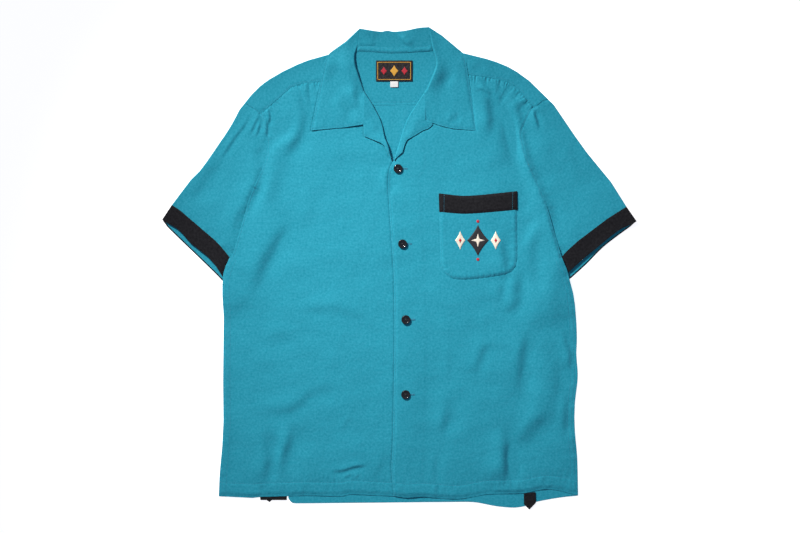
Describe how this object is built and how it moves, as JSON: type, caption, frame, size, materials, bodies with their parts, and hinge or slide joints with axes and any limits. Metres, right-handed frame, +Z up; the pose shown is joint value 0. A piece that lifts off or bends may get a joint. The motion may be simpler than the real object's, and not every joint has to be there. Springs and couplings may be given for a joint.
{
  "type": "bowling shirt",
  "caption": "Short-sleeved camp-collar bowling shirt laid flat on its back, with a banded breast pocket, contrast cuff bands and a gathered yoke.",
  "frame": {"origin": "middle of the shirt's box, on the surface that its back lies on", "axes": "+X towards the wearer's left, +Y towards the collar, +Z up from the surface through back and fronts"},
  "size_m": [0.7351, 0.7476, 0.0103],
  "materials": {
    "teal_cloth": "matt rayon in a fine crepe weave",
    "black_cloth": "matt rayon in a fine crepe weave",
    "label_cloth": "woven satin label",
    "white_cloth": "woven tape",
    "button": "polished"
  },
  "bodies": {
    "root": {"back": "teal_cloth", "yoke": "teal_cloth", "front_left": "teal_cloth", "front_right": "teal_cloth", "facing_left": "teal_cloth", "facing_right": "teal_cloth", "collar": "teal_cloth", "neck_tape": "teal_cloth", "sleeve_left": "teal_cloth", "sleeve_right": "teal_cloth", "pocket": "teal_cloth", "cuff_left": "black_cloth", "cuff_right": "black_cloth", "pocket_band": "black_cloth", "tab_left": "black_cloth", "tab_right": "black_cloth", "label_main": "label_cloth", "label_size": "white_cloth", "button_1": "button", "button_2": "button", "button_3": "button", "button_4": "button"}
  },
  "joints": []
}
